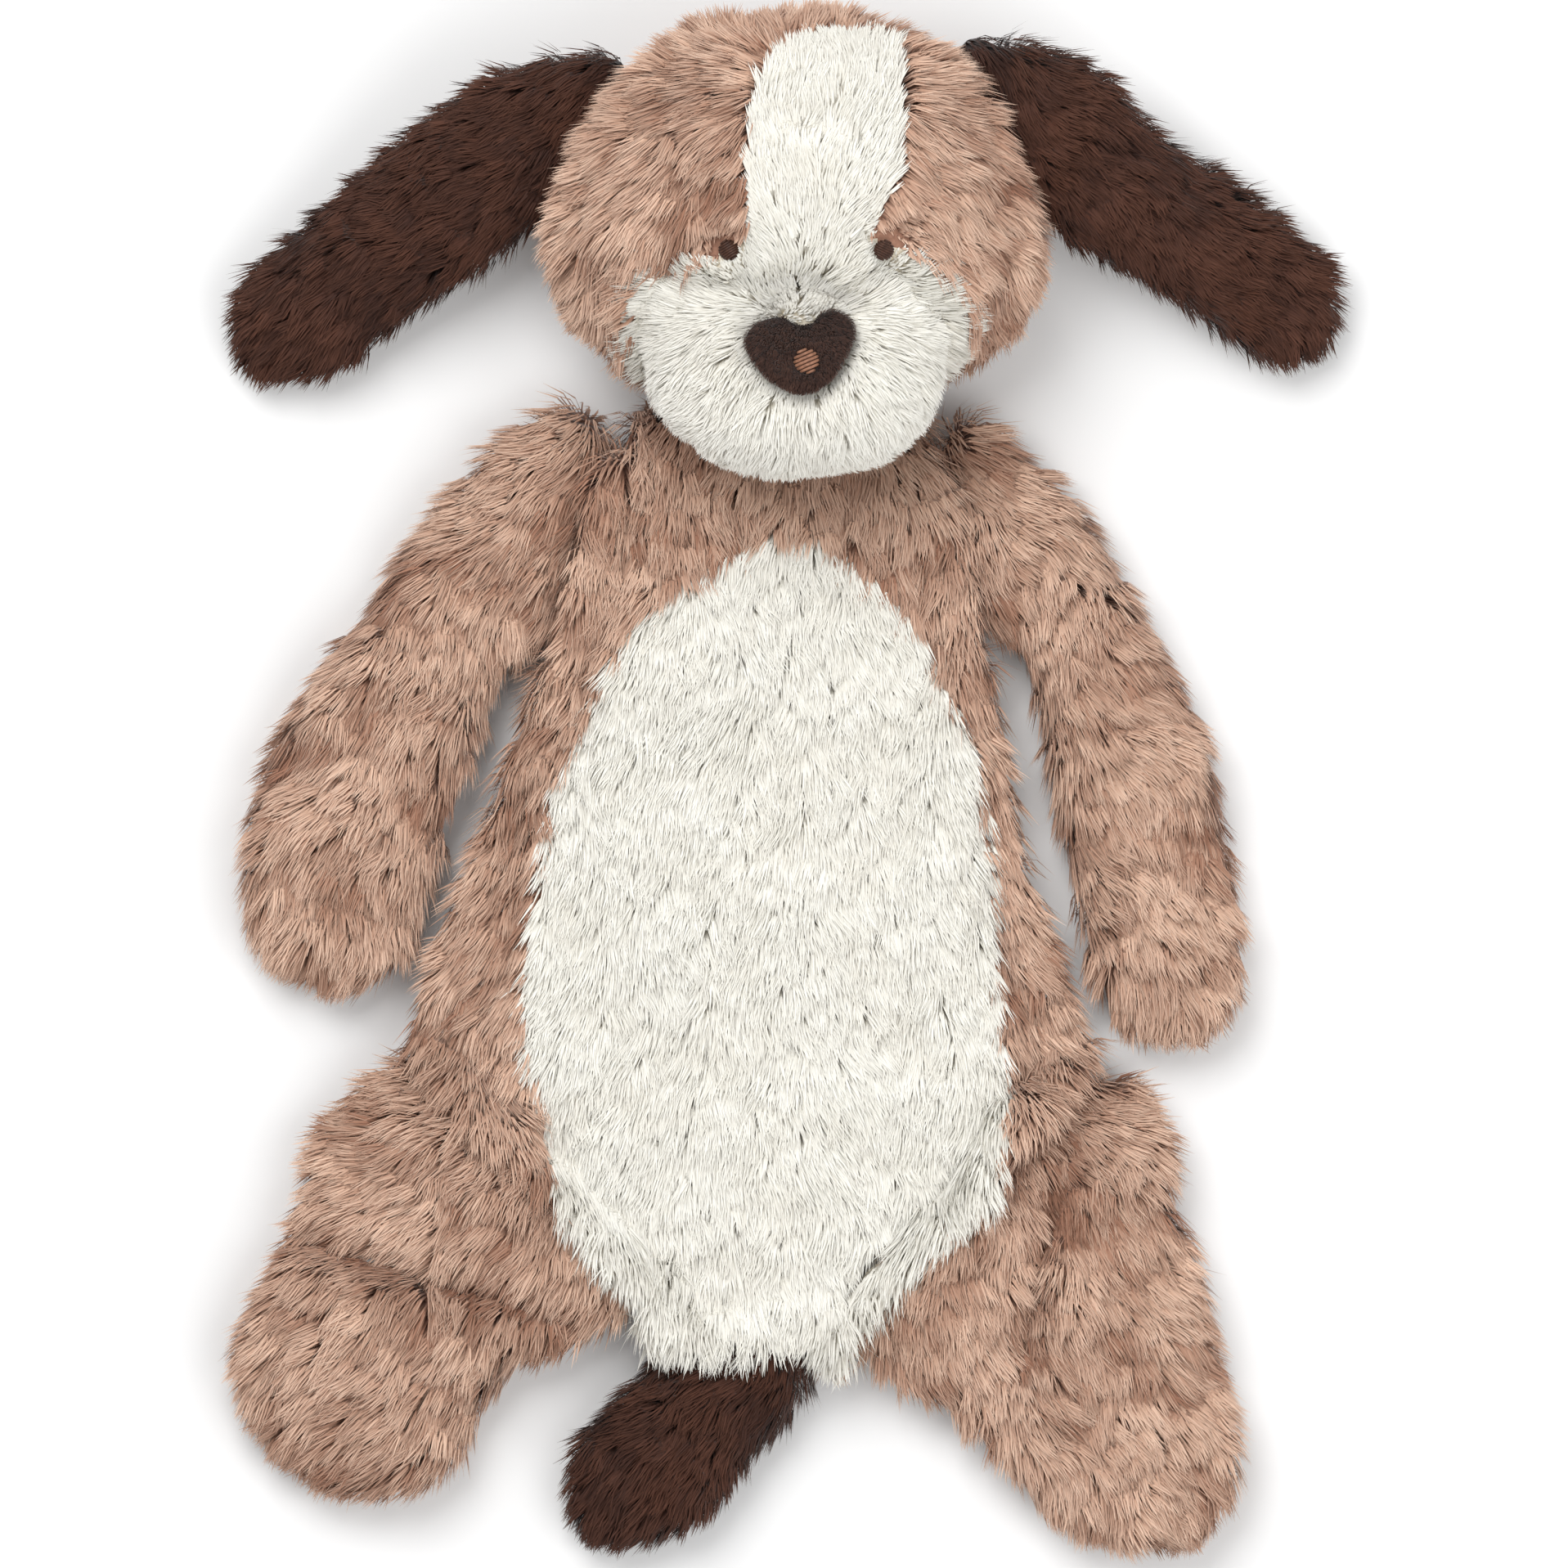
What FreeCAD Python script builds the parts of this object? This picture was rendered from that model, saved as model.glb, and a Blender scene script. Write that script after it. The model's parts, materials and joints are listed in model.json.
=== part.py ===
"""Floppy plush dog, lying on its back.

+Y runs from tail to head, +Z is up out of the belly, and +X is to the right as seen from above.
The floor is z = 0. Each stuffed part is a pillow of long-pile plush: two or more sewn panels round a soft
filling. A panel's thickness is its backing plus its pile as it lies, so the solids end where the fur does.
All lengths are in millimetres.
"""

import FreeCAD
import Part
import math
import os
from FreeCAD import Matrix, Rotation, Vector

# ---- driving dimensions -------------------------------------------------------------------------------------

BACKING = 1.2           # knitted backing of every plush
BODY_PILE = 6.0         # lying pile of the tan and white plush
EAR_PILE = 4.2          # lying pile of the dark plush of the ears and the tail
FIT = 0.25              # clearance between a filling and its cover, and round what is sewn on
SEAM_GAP = 0.8          # clearance between a limb's round root and its socket
FOLD_UP = 50.0          # degrees that a limb's socket lets it fold over the belly, and behind the back
FOLD_DOWN = 35.0
FLAT = 1.5              # how far a pillow is pressed flat by the floor

TORSO_TOP = 95.0        # y of the neck end
TORSO_LENGTH = 243.0
HIP_WIDTH = 200.0
TORSO_THICKNESS = 31.0
TORSO_END_THICKNESS = 27.0
BACK_SEAM_X = -6.0      # centre-back seam

HEAD_WIDTH = 120.0
HEAD_HEIGHT = 105.0
HEAD_DEPTH = 84.0
HEAD_FLAT = 3.0
HEAD_X = 3.0
FACE_LOW = 8.0          # lower edge of the face panel below the head's centre
CHEEK_LOW = 3.0         # and of the cheeks
NECK_GAP = 3.4
NECK_RING_WIDTH = 44.0
NECK_RING_HEIGHT = 12.0
NECK_THREAD = 1.0       # diameter of the doubled thread
NECK_CLEARANCE = 0.5    # between the thread and the torso

MUZZLE_WIDTH = 80.0
MUZZLE_HEIGHT = 54.0
MUZZLE_DEPTH = 62.0
MUZZLE_DROP = 41.5      # centre of the muzzle below the centre of the head
MUZZLE_RISE = 15.5      # and in front of it

EYE_DIAMETER = 4.8
EYE_HEIGHT = 3.2
EYE_SPACING = 41.0
EYE_DROP = 8.2          # below the centre of the head
EYE_SHIFT = 3.0         # the pair sits a little right of the head's middle
NOSE_WIDTH = 28.0
NOSE_HEIGHT = 20.5
NOSE_THICKNESS = 4.6
NOSE_PROUD = 0.6
KNOT_DIAMETER = 7.0
KNOT_HEIGHT = 2.4

EAR_REACH = 111.0       # from the middle of a limb's fold line to the middle of its tip, seen from above
EAR_THICKNESS = 14.5
EAR_ROOT_HEIGHT = 37.0  # height of the ear's fold line above the floor
EAR_SINK = 0.5          # how far the fold line lies inside the side of the head
EAR_GAP = 1.0
EAR_NOTCH = 7.0         # how far the head's notch runs past each end of the fold line
EAR_UP = 50.0           # degrees that an ear's socket lets it lift, and drop, from where it lies
EAR_DOWN = 12.0

LEFT_ARM_REACH = 128.0
RIGHT_ARM_REACH = 135.0
ARM_THICKNESS = 25.0
LEFT_LEG_REACH = 86.0
RIGHT_LEG_REACH = 95.0
LEG_THICKNESS = 26.0
TAIL_REACH = 58.0
TAIL_THICKNESS = 21.0
TIP_ROUND = 17.0        # how far back from its tip a limb begins to round off

STITCHES = 9            # ladder stitches that close the back
STITCH_PITCH = 5.5
STITCH_LENGTH = 4.0
STITCH_THREAD = 0.8

# ---- outlines, as shares of the sizes above -----------------------------------------------------------------

# Share of TORSO_LENGTH from the neck, then the left and right edges as shares of HIP_WIDTH.
TORSO_EDGES = (
    (0.00, -0.23, 0.21),
    (0.06, -0.32, 0.28),
    (0.12, -0.36, 0.33),
    (0.18, -0.38, 0.34),
    (0.25, -0.34, 0.30),
    (0.30, -0.335, 0.285),
    (0.39, -0.38, 0.31),
    (0.49, -0.42, 0.34),
    (0.60, -0.475, 0.385),
    (0.72, -0.53, 0.45),
    (0.76, -0.52, 0.46),
    (0.80, -0.47, 0.43),
    (0.89, -0.36, 0.32),
    (0.97, -0.24, 0.19),
    (1.00, -0.20, 0.14),
)
# The white belly panel, in the same shares.
BELLY_OUTLINE = (
    (0.12, 0.00),
    (0.16, -0.11),
    (0.20, -0.17),
    (0.31, -0.25),
    (0.41, -0.30),
    (0.56, -0.32),
    (0.69, -0.32),
    (0.80, -0.29),
    (0.91, -0.27),
    (0.97, -0.23),
    (1.04, -0.17),
    (1.06, 0.00),
    (1.04, 0.17),
    (0.98, 0.23),
    (0.91, 0.26),
    (0.77, 0.28),
    (0.64, 0.28),
    (0.51, 0.27),
    (0.38, 0.25),
    (0.26, 0.20),
    (0.20, 0.15),
    (0.15, 0.09),
)
# The white blaze and muzzle panel: shares of half the head's width and height from the head's centre.
FACE_OUTLINE = (
    (0.28, 0.93),
    (-0.02, 0.84),
    (-0.18, 0.50),
    (-0.19, 0.02),
    (-0.26, -0.14),
    (-0.56, -0.24),
    (-0.73, -0.62),
    (-0.62, -1.20),
    (0.06, -1.50),
    (0.72, -1.20),
    (0.77, -0.60),
    (0.58, -0.20),
    (0.34, -0.10),
    (0.40, 0.12),
    (0.44, 0.52),
    (0.42, 0.82),
)
# The nose: shares of its width and height from its centre.
NOSE_OUTLINE = (
    (-0.02, 0.30),
    (-0.27, 0.42),
    (-0.48, 0.18),
    (-0.40, -0.12),
    (-0.17, -0.42),
    (0.05, -0.50),
    (0.26, -0.38),
    (0.43, -0.02),
    (0.49, 0.34),
    (0.25, 0.50),
)
NOSE_AT = (0.9, 7.6)            # nose's centre from the muzzle's
KNOT_AT = (2.0, -2.4)           # the stitched knot's centre from the nose's

# The middle of each limb's fold line on the torso (share along, share across) and the heading it faces.
LEFT_ARM_AT = (0.125, -0.31, 163.0)
RIGHT_ARM_AT = (0.125, 0.275, 16.5)
LEFT_LEG_AT = (0.835, -0.365, -131.0)
RIGHT_LEG_AT = (0.855, 0.28, -46.0)
TAIL_AT = (1.0, -0.06, -83.0)
# The same for the ears, in shares of half the head's width and height from its centre.
LEFT_EAR_AT = (-0.86, 0.48, 158.0)
RIGHT_EAR_AT = (0.81, 0.56, 20.0)
# The two edges of each limb from the fold line to the tip. Each row is the outward and sideways distance of
# one edge, then of the other, as shares of the limb's reach.
LEFT_ARM_EDGES = (
    (0.00, 0.27, 0.00, -0.27),
    (0.01, 0.35, 0.22, 0.04),
    (0.02, 0.54, 0.39, 0.43),
    (0.04, 0.73, 0.40, 0.76),
    (0.01, 0.94, 0.31, 1.03),
)
RIGHT_ARM_EDGES = (
    (0.00, 0.23, 0.00, -0.23),
    (0.13, -0.01, -0.01, -0.32),
    (0.26, -0.29, -0.02, -0.47),
    (0.29, -0.66, -0.03, -0.66),
    (0.20, -1.03, -0.05, -0.96),
)
LEFT_LEG_EDGES = (
    (0.00, 0.51, 0.00, -0.51),
    (0.23, 0.41, 0.32, -0.48),
    (0.46, 0.39, 0.69, -0.38),
    (0.59, 0.41, 0.83, -0.33),
    (0.90, 0.42, 1.06, -0.03),
)
RIGHT_LEG_EDGES = (
    (0.00, 0.50, 0.00, -0.50),
    (0.28, 0.39, 0.24, -0.49),
    (0.60, 0.24, 0.48, -0.47),
    (0.89, 0.05, 0.72, -0.44),
    (1.04, -0.07, 0.91, -0.41),
)
TAIL_EDGES = (
    (0.00, 0.30, 0.00, -0.30),
    (0.34, 0.11, 0.21, -0.61),
    (0.50, -0.02, 0.35, -0.73),
    (0.64, -0.18, 0.49, -0.80),
    (0.85, -0.43, 0.68, -0.86),
)
LEFT_EAR_EDGES = (
    (0.00, 0.19, 0.00, -0.19),
    (0.11, 0.37, 0.25, -0.04),
    (0.22, 0.57, 0.48, 0.27),
    (0.36, 0.79, 0.65, 0.61),
    (0.48, 0.86, 0.67, 0.78),
)
RIGHT_EAR_EDGES = (
    (0.00, 0.19, 0.00, -0.19),
    (0.24, 0.06, 0.11, -0.38),
    (0.42, -0.22, 0.25, -0.55),
    (0.63, -0.54, 0.42, -0.77),
    (0.70, -0.70, 0.56, -0.85),
)

# ---- derived sizes ------------------------------------------------------------------------------------------

BODY_WALL = BACKING + BODY_PILE
EAR_WALL = BACKING + EAR_PILE
SEAM_Z = TORSO_END_THICKNESS / 2 - FLAT
HEAD_Z = HEAD_DEPTH / 2 - HEAD_FLAT
NECK_PIVOT = Vector(HEAD_X, TORSO_TOP - TORSO_END_THICKNESS / 2, SEAM_Z)
ABOVE = 400.0           # larger than any part, for half-spaces and through cuts
SECTIONS = 22
TORSO_SECTIONS = 30
TIP_ANGLE = 4.0         # degrees from the very tip to the first section, which spaces them closer at the ends
RIM = 24                # points round a section
FULLNESS = 2.15         # superellipse exponent of a pillow's section
UP = Vector(0, 0, 1)
joints = {}


# ---- helpers ------------------------------------------------------------------------------------------------

def eased(rows, at):
    """A row of a table at a fractional row number, on smooth curves through the rows."""
    last = len(rows) - 1
    i = min(max(int(at), 0), last - 1)
    t = at - i
    found = []
    for column in range(len(rows[0])):
        before, a = rows[max(i - 1, 0)][column], rows[i][column]
        b, after = rows[i + 1][column], rows[min(i + 2, last)][column]
        found.append((2 * t**3 - 3 * t**2 + 1) * a + (t**3 - 2 * t**2 + t) * (b - before) / 2
                     + (3 * t**2 - 2 * t**3) * b + (t**3 - t**2) * (after - a) / 2)
    return found


def section(centre, across, half_width, half_height):
    """Points round an upright superellipse, its width along across. The last repeats the first."""
    points = []
    for k in range(RIM):
        a = 2 * math.pi * k / RIM
        c, s = math.cos(a), math.sin(a)
        wide = math.copysign(abs(c) ** (2 / FULLNESS), c) * half_width
        high = math.copysign(abs(s) ** (2 / FULLNESS), s) * half_height
        points.append(centre + across * wide + UP * high)
    return points + points[:1]


def skin(sections):
    """Closed solid with one smooth surface through all sections and a flat cap at each end."""
    surface = Part.BSplineSurface()
    surface.interpolate(sections)
    first, last = surface.bounds()[0], surface.bounds()[1]
    caps = [Part.Face(Part.Wire([surface.uIso(u).toShape()])) for u in (first, last)]
    shell = Part.makeShell([surface.toShape()] + caps)
    shell.sewShape()
    solid = Part.makeSolid(shell)
    if solid.Volume < 0:
        solid.reverse()
    return solid


def rounding(distance, radius):
    """Share of full size at a distance inside a round end."""
    return 1.0 if distance >= radius else math.sqrt(max(0.0, 1 - (1 - distance / radius) ** 2))


def heading_vector(heading):
    return Vector(math.cos(math.radians(heading)), math.sin(math.radians(heading)), 0)


def limb_path(middle, heading, edges, reach, root):
    """Pairs of opposite edge points in plan, from the back of the round root to the tip."""
    outward = heading_vector(heading)
    sideways = UP.cross(outward)
    first = edges[0]
    rows = [(-root * (1 - k / 8) / reach, first[1], -root * (1 - k / 8) / reach, first[3]) for k in range(8)]
    spans = (len(edges) - 1) * 8
    rows += [eased(edges, k / 8) for k in range(spans + 1)]
    return [(middle + outward * (a * reach) + sideways * (b * reach),
             middle + outward * (c * reach) + sideways * (d * reach)) for a, b, c, d in rows]


def distances_along(path):
    """Distance of each pair's middle from the first, along the limb."""
    middles = [(a + b) * 0.5 for a, b in path]
    total = [0.0]
    for before, after in zip(middles, middles[1:]):
        total.append(total[-1] + (after - before).Length)
    return total


def pair_at(path, lengths, distance):
    i = max(k for k in range(len(lengths) - 1) if lengths[k] <= distance or k == 0)
    t = (distance - lengths[i]) / (lengths[i + 1] - lengths[i])
    (a, b), (c, d) = path[i], path[i + 1]
    return a + (c - a) * t, b + (d - b) * t


def pillow(path, thickness, inset=0.0):
    """A stuffed limb, lying flat, with a round root bar and a round tip. inset shrinks it all round."""
    root = thickness / 2
    lengths = distances_along(path)
    total = lengths[-1]
    sections = []
    for k in range(SECTIONS + 1):
        angle = math.radians(TIP_ANGLE + (180 - 2 * TIP_ANGLE) * k / SECTIONS)
        distance = inset + (total - 2 * inset) * (1 - math.cos(angle)) / 2
        a, b = pair_at(path, lengths, distance)
        at_root = rounding(distance - inset, root - inset)
        at_tip = rounding(total - inset - distance, TIP_ROUND - inset)
        full = (a - b).Length / 2 - inset
        half_width = (full - (root - inset) * (1 - at_root)) * at_tip
        half_height = (root - inset) * at_root * at_tip
        sections.append(section((a + b) * 0.5, (a - b).normalize(), half_width, half_height))
    return skin(sections)


def ellipsoid(centre, width, height, depth):
    unit = Part.makeSphere(1.0)
    m = Matrix()
    m.scale(width / 2, height / 2, depth / 2)
    shape = unit.transformGeometry(m)
    shape.translate(centre)
    return shape


def block(x0, x1, y0, y1, z0, z1):
    return Part.makeBox(x1 - x0, y1 - y0, z1 - z0, Vector(x0, y0, z0))


def above(z):
    return block(-ABOVE, ABOVE, -ABOVE, ABOVE, z, ABOVE)


def below(z):
    return block(-ABOVE, ABOVE, -ABOVE, ABOVE, -ABOVE, z)


def right_of(x):
    return block(x, ABOVE, -ABOVE, ABOVE, -ABOVE, ABOVE)


def left_of(x):
    return block(-ABOVE, x, -ABOVE, ABOVE, -ABOVE, ABOVE)


def prism(points, z0, z1):
    """Upright prism on a smooth closed outline."""
    curve = Part.BSplineCurve()
    curve.interpolate([Vector(p.x, p.y, z0) for p in points], PeriodicFlag=True)
    return Part.Face(Part.Wire([curve.toShape()])).extrude(Vector(0, 0, z1 - z0))


def socket(middle, heading, radius, half_length, up, down):
    """The room a limb's round root turns in: a bore on its fold line, open outwards from up degrees above
    the limb to down degrees below it."""
    outward = heading_vector(heading)
    sideways = UP.cross(outward)
    corner = middle - sideways * half_length
    rise, fall = math.radians(up), math.radians(down)
    top = corner + (outward * -math.sin(rise) + UP * math.cos(rise)) * radius
    bottom = corner - (outward * math.sin(fall) + UP * math.cos(fall)) * radius
    far_top = top + (outward * math.cos(rise) + UP * math.sin(rise)) * ABOVE
    far_bottom = bottom + (outward * math.cos(fall) - UP * math.sin(fall)) * ABOVE
    arc = Part.Arc(top, corner - outward * radius, bottom).toShape()
    sides = [Part.makeLine(bottom, far_bottom), Part.makeLine(far_bottom, far_top), Part.makeLine(far_top, top)]
    return Part.Face(Part.Wire([arc] + sides)).extrude(sideways * (2 * half_length))


def rest_on_floor(shape):
    return shape.common(above(0.0))


def save(name, shape):
    """Writes one node. Every piece is one or more valid closed solids."""
    solids = [s for s in shape.Solids if s.Volume > 0.5]
    assert solids, name + " is empty"
    assert all(s.isValid() for s in solids), name + " is not valid"
    whole = solids[0] if len(solids) == 1 else Part.makeCompound(solids)
    whole.exportStep(os.path.join("parts", name + ".step"))
    print("%-24s %2d solid(s) %9.0f mm3" % (name, len(solids), whole.Volume))


def note_joint(name, point, axis):
    joints[name] = {"pos": [round(v, 4) for v in point], "axis": [round(v, 6) for v in axis]}


# ---- limbs --------------------------------------------------------------------------------------------------

def torso_point(share_along, share_across, z=0.0):
    return Vector(share_across * HIP_WIDTH, TORSO_TOP - share_along * TORSO_LENGTH, z)


def limb(name, at, edges, reach, thickness, wall):
    """Builds a limb that lies on the floor from its fold line, writes its nodes, and returns the room its
    root needs in the torso's cover and the deeper room it needs in the torso's filling."""
    share_along, share_across, heading = at
    root = thickness / 2
    z = root - FLAT
    middle = torso_point(share_along, share_across, z)
    path = limb_path(middle, heading, edges, reach, root)
    outer = rest_on_floor(pillow(path, thickness))
    save_cover(name, outer, pillow(path, thickness, wall), above(z))
    save(name + "_filling", pillow(path, thickness, wall + FIT))
    note_joint(name, middle, UP.cross(heading_vector(heading)) * -1)
    half_length = edges[0][1] * reach + SEAM_GAP
    return (socket(middle, heading, root + SEAM_GAP, half_length, FOLD_UP, FOLD_DOWN),
            socket(middle, heading, root + SEAM_GAP + wall, half_length + wall, FOLD_UP, FOLD_DOWN))


def save_cover(name, outer, inner, front_half):
    """A front and a back panel that meet on a seam round the edge."""
    cover = outer.cut(inner)
    save(name + "_front", cover.common(front_half))
    save(name + "_back", cover.cut(front_half))


# ---- torso --------------------------------------------------------------------------------------------------

def torso_pillow(inset=0.0):
    """The body, with shoulders and hips, from the neck to the crotch."""
    root = TORSO_END_THICKNESS / 2
    sections = []
    for k in range(TORSO_SECTIONS + 1):
        angle = math.radians(TIP_ANGLE + (180 - 2 * TIP_ANGLE) * k / TORSO_SECTIONS)
        distance = inset + (TORSO_LENGTH - 2 * inset) * (1 - math.cos(angle)) / 2
        left, right = torso_edges(distance / TORSO_LENGTH)
        ends = (rounding(distance - inset, root - inset)
                * rounding(TORSO_LENGTH - inset - distance, root - inset))
        full = (right - left) / 2 - inset
        half_width = full - (root - inset) * (1 - ends)
        swell = math.sin(math.pi * distance / TORSO_LENGTH)
        half = (TORSO_END_THICKNESS + (TORSO_THICKNESS - TORSO_END_THICKNESS) * swell) / 2
        centre = Vector((left + right) / 2, TORSO_TOP - distance, half - FLAT)
        sections.append(section(centre, Vector(1, 0, 0), half_width, (half - inset) * ends))
    return skin(sections)


def torso_edges(share):
    """Left and right edge of the torso in millimetres, on straight runs between the outline's stations."""
    rows = TORSO_EDGES
    i = max(k for k in range(len(rows) - 1) if rows[k][0] <= share or k == 0)
    t = (share - rows[i][0]) / (rows[i + 1][0] - rows[i][0])
    return [(rows[i][side] + (rows[i + 1][side] - rows[i][side]) * t) * HIP_WIDTH for side in (1, 2)]


def back_stitches(x, y, z):
    """Ladder stitches across the centre-back seam, one short thread each."""
    stitches = []
    for k in range(STITCHES):
        at = Vector(x - STITCH_LENGTH / 2, y - (STITCHES - 1) / 2 * STITCH_PITCH + k * STITCH_PITCH, z)
        stitches.append(Part.makeCylinder(STITCH_THREAD / 2, STITCH_LENGTH, at, Vector(1, 0, 0)))
    return Part.makeCompound(stitches)


def make_torso(sockets, clearances):
    outer = rest_on_floor(torso_pillow())
    inner = torso_pillow(BODY_WALL)
    filling = torso_pillow(BODY_WALL + FIT)
    cover = outer.cut(inner)
    for room in sockets:
        cover = cover.cut(room)
    for room in clearances:
        filling = filling.cut(room)
    back = cover.common(below(SEAM_Z))
    save("back_left", back.common(left_of(BACK_SEAM_X)))
    save("back_right", back.common(right_of(BACK_SEAM_X)))
    front = cover.common(above(SEAM_Z))
    belly_prism = prism([torso_point(a, b) for a, b in BELLY_OUTLINE], SEAM_Z - 1, ABOVE)
    save("belly", front.common(belly_prism))
    sides = front.cut(belly_prism)
    middle = torso_point(0, BELLY_OUTLINE[0][1]).x
    save("front_left", sides.common(left_of(middle)))
    save("front_right", sides.common(right_of(middle)))
    # The stitches lie on the inside of the back panels, in a groove of the filling.
    floor_of_filling = BODY_WALL - FLAT + FIT
    thread_z = floor_of_filling + STITCH_THREAD / 2
    length = STITCHES * STITCH_PITCH
    y = TORSO_TOP - TORSO_LENGTH / 2
    save("closing_stitches", back_stitches(BACK_SEAM_X, y, thread_z))
    groove = block(BACK_SEAM_X - STITCH_LENGTH / 2 - FIT, BACK_SEAM_X + STITCH_LENGTH / 2 + FIT,
                   y - length / 2, y + length / 2, 0, thread_z + STITCH_THREAD / 2 + FIT)
    save("torso_filling", filling.cut(groove))


# ---- head ---------------------------------------------------------------------------------------------------

def head_centre():
    """The head sits NECK_GAP past the round neck end of the torso."""
    radius = TORSO_END_THICKNESS / 2 + NECK_GAP
    low, high = NECK_PIVOT.y, NECK_PIVOT.y + HEAD_HEIGHT
    for _ in range(40):
        y = (low + high) / 2
        nearest = min(
            math.hypot(y + HEAD_HEIGHT / 2 * math.cos(a) - NECK_PIVOT.y,
                       HEAD_Z + HEAD_DEPTH / 2 * math.sin(a) - NECK_PIVOT.z)
            for a in (math.radians(180 + k) for k in range(-60, 90))
        )
        if nearest < radius:
            low = y
        else:
            high = y
    return Vector(HEAD_X, high, HEAD_Z)


HEAD = head_centre()
MUZZLE = HEAD + Vector(0, -MUZZLE_DROP, MUZZLE_RISE)


def head_shape(inset=0.0):
    skull = ellipsoid(HEAD, HEAD_WIDTH - 2 * inset, HEAD_HEIGHT - 2 * inset, HEAD_DEPTH - 2 * inset)
    return skull.fuse(muzzle_shape(-inset))


def muzzle_shape(grow):
    return ellipsoid(MUZZLE, MUZZLE_WIDTH + 2 * grow, MUZZLE_HEIGHT + 2 * grow, MUZZLE_DEPTH + 2 * grow)


def on_skull(x, y):
    """Point of the head's front surface over x, y, and its outward normal."""
    u, v = (x - HEAD.x) / (HEAD_WIDTH / 2), (y - HEAD.y) / (HEAD_HEIGHT / 2)
    w = math.sqrt(1 - u * u - v * v)
    normal = Vector(u / HEAD_WIDTH, v / HEAD_HEIGHT, w / HEAD_DEPTH)
    return Vector(x, y, HEAD.z + HEAD_DEPTH / 2 * w), normal.normalize()


def eye(side):
    """A satin-stitched eye: a low dome on the backing, with the pile kept clear round it."""
    surface, normal = on_skull(HEAD.x + side * EYE_SPACING / 2 + EYE_SHIFT, HEAD.y - EYE_DROP)
    base = surface - normal * BODY_PILE
    turn = Rotation(UP, normal)
    dome = ellipsoid(Vector(0, 0, 0), EYE_DIAMETER, EYE_DIAMETER, 2 * EYE_HEIGHT).common(above(0))
    dome.Placement = FreeCAD.Placement(base, turn)
    room = Part.makeCylinder(EYE_DIAMETER / 2 + FIT, 3 * BODY_PILE, base, normal)
    return dome, room


def make_head(sockets):
    outer = rest_on_floor(head_shape())
    cover = outer.cut(head_shape(BODY_WALL))
    filling = head_shape(BODY_WALL + FIT)
    for room in sockets:
        cover = cover.cut(room)
        filling = filling.cut(room)
    face = prism([HEAD + Vector(a * HEAD_WIDTH / 2, b * HEAD_HEIGHT / 2, 0) for a, b in FACE_OUTLINE],
                 HEAD.z - FACE_LOW, ABOVE)
    eyes = {"eye_left": eye(-1), "eye_right": eye(1)}
    nose_centre = MUZZLE + Vector(NOSE_AT[0], NOSE_AT[1], 0)

    def nose_prism(grow):
        scale_x, scale_y = NOSE_WIDTH + 2 * grow, NOSE_HEIGHT + 2 * grow
        return prism([nose_centre + Vector(a * scale_x, b * scale_y, 0) for a, b in NOSE_OUTLINE],
                     MUZZLE.z, ABOVE)

    bed = muzzle_shape(NOSE_PROUD - NOSE_THICKNESS)
    nose = muzzle_shape(NOSE_PROUD).common(nose_prism(0)).cut(bed)
    knot_at = nose_centre + Vector(KNOT_AT[0], KNOT_AT[1], 0)
    u = (knot_at.x - MUZZLE.x) / (MUZZLE_WIDTH / 2)
    v = (knot_at.y - MUZZLE.y) / (MUZZLE_HEIGHT / 2)
    knot_at.z = MUZZLE.z + (MUZZLE_DEPTH / 2 + NOSE_PROUD) * math.sqrt(1 - u * u - v * v) - KNOT_HEIGHT / 2
    knot = ellipsoid(knot_at, KNOT_DIAMETER, KNOT_DIAMETER, KNOT_HEIGHT)
    nose = nose.cut(ellipsoid(knot_at, KNOT_DIAMETER + 2 * FIT, KNOT_DIAMETER + 2 * FIT,
                              KNOT_HEIGHT + 2 * FIT))
    nose = nose.cut(Part.makeCylinder(KNOT_DIAMETER / 2 + FIT, KNOT_HEIGHT * 2, knot_at))
    save("nose", nose)
    save("nose_knot", knot)
    for name, (dome, room) in eyes.items():
        save(name, dome)
        cover = cover.cut(room)
    cover = cover.cut(nose_prism(FIT).cut(muzzle_shape(NOSE_PROUD - NOSE_THICKNESS - FIT)))

    save("face", cover.common(face))
    brown = cover.cut(face)
    front = brown.common(above(HEAD.z - CHEEK_LOW))
    middle = HEAD.x + FACE_OUTLINE[0][0] * HEAD_WIDTH / 2
    save("cheek_left", front.common(left_of(middle)))
    save("cheek_right", front.common(right_of(middle)))
    save("head_back", brown.common(below(HEAD.z - CHEEK_LOW)))
    save("head_filling", filling)


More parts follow.
